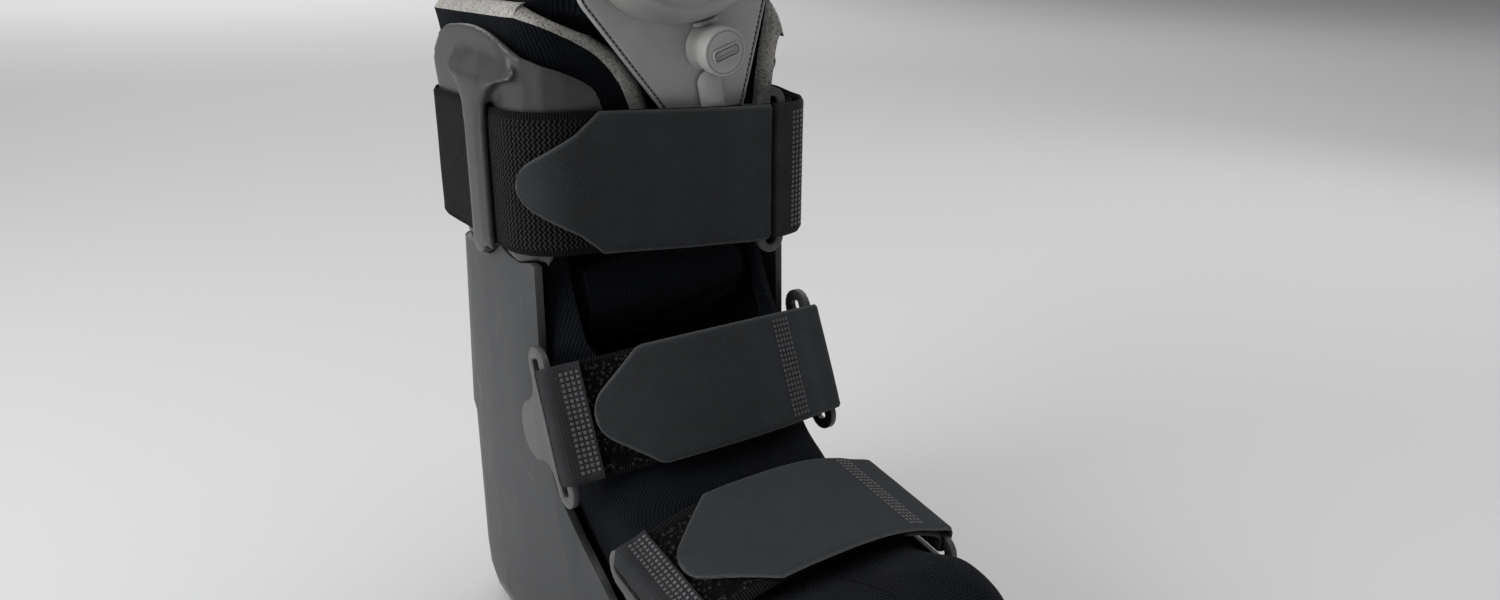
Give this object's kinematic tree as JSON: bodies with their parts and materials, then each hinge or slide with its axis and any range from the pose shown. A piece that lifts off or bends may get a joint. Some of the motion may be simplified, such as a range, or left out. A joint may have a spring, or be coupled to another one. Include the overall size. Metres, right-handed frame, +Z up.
{
  "type": "medical walking boot",
  "caption": "Low medical walking boot: open-toed padded bootie in a rigid shell with side uprights, rocker sole, ring-and-strap fastening and a hand pump for its air lining.",
  "frame": {"origin": "on the ground, under the middle of the boot's overall box", "axes": "+Z up the leg, -Y towards the toe, -X towards the wearer's right"},
  "size_m": [0.1484, 0.3174, 0.3834],
  "materials": {
    "rubber": "matt moulded rubber",
    "shell": "dark grey moulded plastic, satin",
    "plate": "mid grey moulded plastic, satin",
    "ring": "smooth moulded plastic, satin",
    "knit": "black knit over foam",
    "loop_strip": "black woven loop strip",
    "tab_cloth": "charcoal twill, hook backed",
    "pump": "warm grey moulded plastic, satin",
    "bulb": "warm grey moulded rubber, satin"
  },
  "bodies": {
    "boot": {"outsole": "rubber", "shell": "shell", "upright_plate_right": "plate", "upright_plate_left": "plate", "liner_wrap": "knit", "front_flap": "knit", "calf_ring": "ring", "calf_strap_loop": "loop_strip", "calf_strap_tab": "tab_cloth", "ankle_strap_loop": "loop_strip", "ankle_strap_tab": "tab_cloth", "ankle_ring_right": "ring", "ankle_ring_left": "ring", "forefoot_strap_loop": "loop_strip", "forefoot_strap_tab": "tab_cloth", "forefoot_ring_right": "ring", "forefoot_ring_left": "ring", "pump_panel": "pump", "pump_bulb": "bulb", "release_valve": "pump"},
    "button": {"release_button": "pump"}
  },
  "joints": [
    {"name": "release_button_press", "type": "slide", "parent": "boot", "child": "button", "axis": [0, 0.9946, 0.1036], "range_m": [0, 0.0015], "stiffness_N_per_m": 700, "springref_m": -0.0012}
  ]
}
